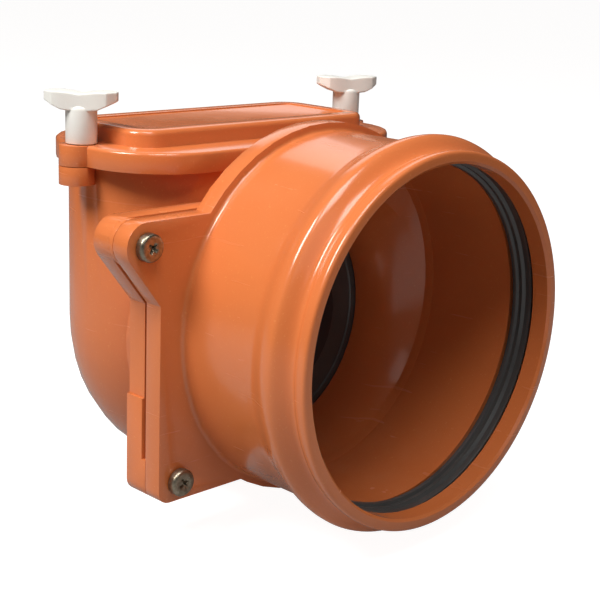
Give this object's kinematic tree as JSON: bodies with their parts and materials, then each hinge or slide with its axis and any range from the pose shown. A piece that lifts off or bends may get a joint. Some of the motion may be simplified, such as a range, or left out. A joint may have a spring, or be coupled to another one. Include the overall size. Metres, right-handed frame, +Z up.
{
  "type": "backwater valve",
  "caption": "Orange plastic backwater valve: push-fit pipe socket bolted to a chamber with a hanging flap and a cover held by wing screws.",
  "frame": {"origin": "middle of the valve's footprint, at the height of the chamber's lowest point", "axes": "+X along the pipe, out of the inlet mouth; +Z up, out of the cover; +Y across the pipe, along the cover's long side"},
  "size_m": [0.197, 0.2324, 0.198],
  "materials": {
    "orange_pvc": "smooth injection-moulded orange-brown PVC, glossy with a soft mould sheen",
    "black_rubber": "matt black moulded rubber with a grey sheen",
    "black_plastic": "moulded black plastic, satin",
    "white_nylon": "slightly warm white nylon, satin gloss",
    "zinc_steel": "zinc-plated steel gone dull and brownish grey",
    "stainless_steel": "plain stainless steel",
    "brass": "turned brass"
  },
  "bodies": {
    "valve_body": {"chamber": "orange_pvc", "inlet_socket": "orange_pvc", "socket_lip_seal": "black_rubber", "outlet_lip_seal": "black_rubber", "flange_gasket": "black_rubber", "hinge_pin": "stainless_steel", "hinge_clip_left": "stainless_steel", "hinge_clip_right": "stainless_steel", "flange_screw_1": "zinc_steel", "flange_screw_2": "zinc_steel", "flange_screw_3": "zinc_steel", "flange_screw_4": "zinc_steel", "flange_nut_1": "zinc_steel", "flange_nut_2": "zinc_steel", "flange_nut_3": "zinc_steel", "flange_nut_4": "zinc_steel", "cover_insert_left": "brass", "cover_insert_right": "brass"},
    "cover": {"access_cover": "orange_pvc", "cover_gasket": "black_rubber"},
    "left_screw": {"wing_screw_left": "white_nylon"},
    "right_screw": {"wing_screw_right": "white_nylon"},
    "flap": {"flap_disc": "black_plastic", "flap_seal": "black_rubber", "flap_retainer": "black_plastic", "flap_screw_1": "stainless_steel", "flap_screw_2": "stainless_steel", "flap_screw_3": "stainless_steel", "flap_screw_4": "stainless_steel"}
  },
  "joints": [
    {"name": "cover_lift", "type": "slide", "parent": "valve_body", "child": "cover", "axis": [0, 0, 1], "range_m": [0, 0.06]},
    {"name": "left_screw_turn", "type": "hinge", "parent": "cover", "child": "left_screw", "pos_m": [-0.049, -0.0875, 0.174], "axis": [0, 0, 1], "continuous": true},
    {"name": "right_screw_turn", "type": "hinge", "parent": "cover", "child": "right_screw", "pos_m": [-0.049, 0.0875, 0.174], "axis": [0, 0, 1], "continuous": true},
    {"name": "flap_swing", "type": "hinge", "parent": "valve_body", "child": "flap", "pos_m": [-0.0105, 0, 0.1502], "axis": [0, 1, 0], "range_deg": [0, 38]}
  ]
}
